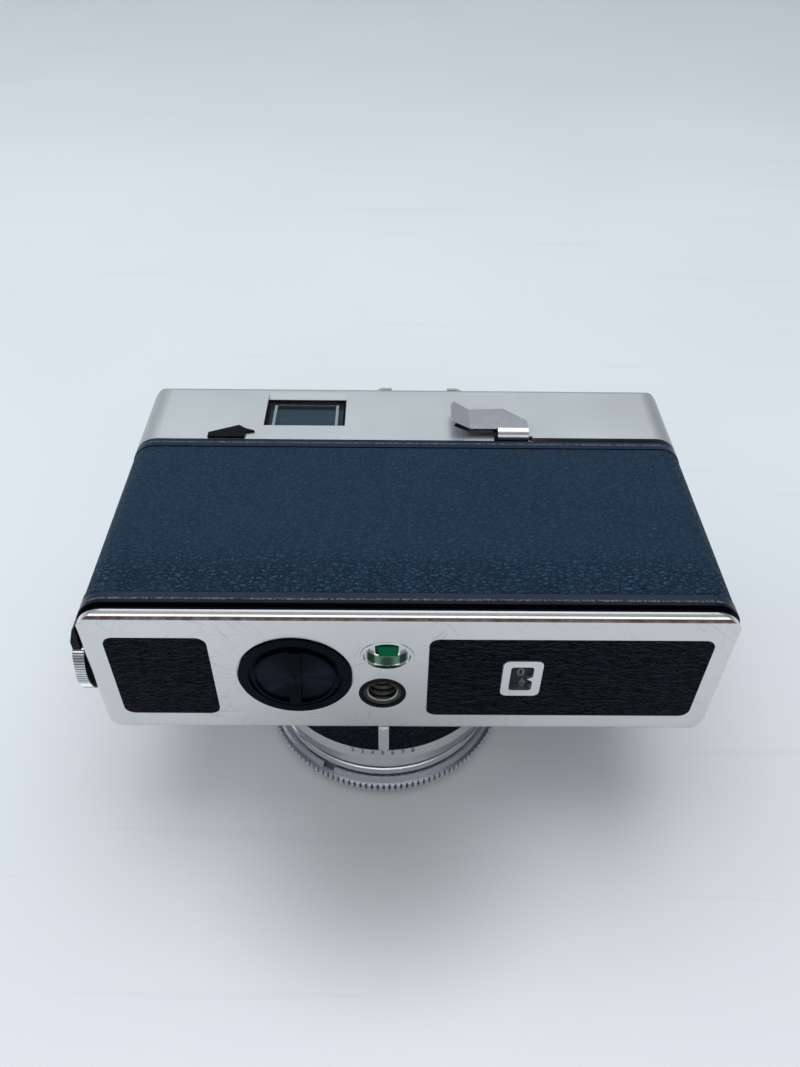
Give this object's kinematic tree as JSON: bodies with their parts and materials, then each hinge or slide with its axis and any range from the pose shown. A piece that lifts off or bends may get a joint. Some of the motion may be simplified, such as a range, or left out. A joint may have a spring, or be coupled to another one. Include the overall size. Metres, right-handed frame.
{
  "type": "half frame camera",
  "caption": "Compact half-frame film camera with a leather-covered body, satin top and bottom covers, hinged back, bottom rewind knob and ringed lens barrel.",
  "frame": {"origin": "centre of the lens barrel's front rim, on the lens axis; the camera lies lens-down on this rim", "axes": "+X to the right as seen from behind the camera (long side), +Y towards the camera's top cover, +Z towards the camera's back, which faces up in this resting pose; the lens looks along -Z"},
  "size_m": [0.1163, 0.0722, 0.0572],
  "materials": {
    "satin_chrome": "satin",
    "polished_metal": "polished",
    "steel": "brushed",
    "black_casting": "matte black",
    "black_enamel": "semi-gloss",
    "black_gloss": "gloss",
    "black_matte": "matte",
    "grain_leather": "pebbled",
    "inset_leather": "wrinkled",
    "brass": "plain",
    "green_slider": "gloss",
    "foam": "foam",
    "optical_glass": "clear"
  },
  "bodies": {
    "camera": {"body_casting": "black_casting", "front_leather": "grain_leather", "top_cover": "satin_chrome", "bottom_plate": "satin_chrome", "bottom_leather_left": "inset_leather", "bottom_leather_right": "inset_leather", "hinge_pin": "steel", "light_seals": "foam", "latch_washer": "black_enamel", "eyepiece_frame": "black_matte", "eyepiece_glass": "optical_glass", "frameline_mask": "polished_metal", "finder_tube": "black_matte", "finder_front_glass": "optical_glass", "finder_front_frame": "black_matte", "meter_window": "optical_glass", "rewind_escutcheon": "polished_metal", "tripod_bush": "steel", "tripod_ring": "black_enamel", "rear_tab": "black_enamel", "counter_frame": "polished_metal", "counter_glass": "optical_glass", "shutter_spring": "steel", "button_collar": "polished_metal", "accessory_shoe": "polished_metal", "shoe_screws": "steel", "cover_screws": "steel", "lens_collar": "black_enamel", "collar_leather": "inset_leather", "index_rib": "polished_metal", "lens_barrel": "black_enamel", "front_bezel": "black_enamel", "shutter_plate": "black_enamel", "shutter_blades": "steel", "rear_cell": "black_enamel", "rear_glass": "optical_glass"},
    "door": {"back_cover": "black_enamel", "back_leather": "grain_leather", "pressure_spring": "steel"},
    "pressure": {"pressure_plate": "black_enamel"},
    "latch": {"latch_knob": "polished_metal"},
    "advance": {"advance_lever": "polished_metal", "advance_shaft": "brass"},
    "takeup": {"takeup_spool": "black_matte"},
    "sprocket_wheel": {"sprocket": "polished_metal"},
    "rewind": {"rewind_knob": "black_gloss"},
    "fork": {"rewind_gear": "brass", "rewind_fork": "steel"},
    "switch": {"rewind_switch": "green_slider"},
    "counter": {"counter_dial": "black_matte"},
    "button": {"shutter_button": "polished_metal"},
    "speed": {"speed_ring": "satin_chrome"},
    "aperture": {"aperture_ring": "polished_metal"},
    "focus": {"focus_ring": "polished_metal"},
    "cell": {"lens_cell": "black_enamel", "front_glass": "optical_glass"}
  },
  "joints": [
    {"name": "back_cover_hinge", "type": "hinge", "parent": "camera", "child": "door", "pos_m": [0.0596, 0, 0.0452], "axis": [0, 1, 0], "range_deg": [0, 105]},
    {"name": "pressure_plate_float", "type": "slide", "parent": "door", "child": "pressure", "axis": [0, 0, 1], "range_m": [0, 0.0006], "stiffness_N_per_m": 250},
    {"name": "latch_knob_turn", "type": "hinge", "parent": "camera", "child": "latch", "pos_m": [-0.0526, -0.01605, 0.03635], "axis": [-1, 0, 0], "range_deg": [0, 90]},
    {"name": "advance_lever_swing", "type": "hinge", "parent": "camera", "child": "advance", "pos_m": [0.0454, 0.024, 0.0445], "axis": [0, 1, 0], "range_deg": [0, 120], "stiffness_Nm_per_rad": 0.02},
    {"name": "takeup_spool_turn", "type": "hinge", "parent": "camera", "child": "takeup", "pos_m": [0.0429, 0, 0.039], "axis": [0, 1, 0], "range_deg": [0, 166.2]},
    {"name": "sprocket_turn", "type": "hinge", "parent": "camera", "child": "sprocket_wheel", "pos_m": [0.0224, 0, 0.0412], "axis": [0, 1, 0], "range_deg": [0, 180]},
    {"name": "counter_dial_turn", "type": "hinge", "parent": "camera", "child": "counter", "pos_m": [0.0326, -0.023, 0.0374], "axis": [0, 1, 0], "range_deg": [0, 4.5]},
    {"name": "rewind_knob_turn", "type": "hinge", "parent": "camera", "child": "rewind", "pos_m": [-0.0156, -0.0245, 0.0379], "axis": [0, -1, 0], "continuous": true},
    {"name": "rewind_fork_turn", "type": "hinge", "parent": "camera", "child": "fork", "pos_m": [-0.0362, -0.0215, 0.0386], "axis": [0, -1, 0], "continuous": true},
    {"name": "rewind_switch_slide", "type": "slide", "parent": "camera", "child": "switch", "axis": [0, 0, 1], "range_m": [0, 0.0012]},
    {"name": "shutter_release_press", "type": "slide", "parent": "camera", "child": "button", "axis": [0, -1, 0], "range_m": [0, 0.0022], "stiffness_N_per_m": 300, "deforming": ["shutter_spring"]},
    {"name": "film_speed_ring_turn", "type": "hinge", "parent": "camera", "child": "speed", "pos_m": [0, 0, 0.0103], "axis": [0, 0, 1], "range_deg": [-70, 0]},
    {"name": "aperture_ring_turn", "type": "hinge", "parent": "camera", "child": "aperture", "pos_m": [0, 0, 0.0052], "axis": [0, 0, 1], "range_deg": [0, 80]},
    {"name": "focus_ring_turn", "type": "hinge", "parent": "camera", "child": "focus", "pos_m": [0, 0, 0.0024], "axis": [0, 0, 1], "range_deg": [0, 90]},
    {"name": "front_cell_travel", "type": "slide", "parent": "camera", "child": "cell", "axis": [0, 0, -1], "range_m": [0, 0.0016]}
  ],
  "couplings": [
    {"joint": "takeup_spool_turn", "follows": "advance_lever_swing", "ratio": 1.3845},
    {"joint": "sprocket_turn", "follows": "advance_lever_swing", "ratio": 1.5},
    {"joint": "counter_dial_turn", "follows": "advance_lever_swing", "ratio": 0.0375},
    {"joint": "rewind_fork_turn", "follows": "rewind_knob_turn", "ratio": -1},
    {"joint": "front_cell_travel", "follows": "focus_ring_turn", "m_per_rad": 0.001018}
  ]
}
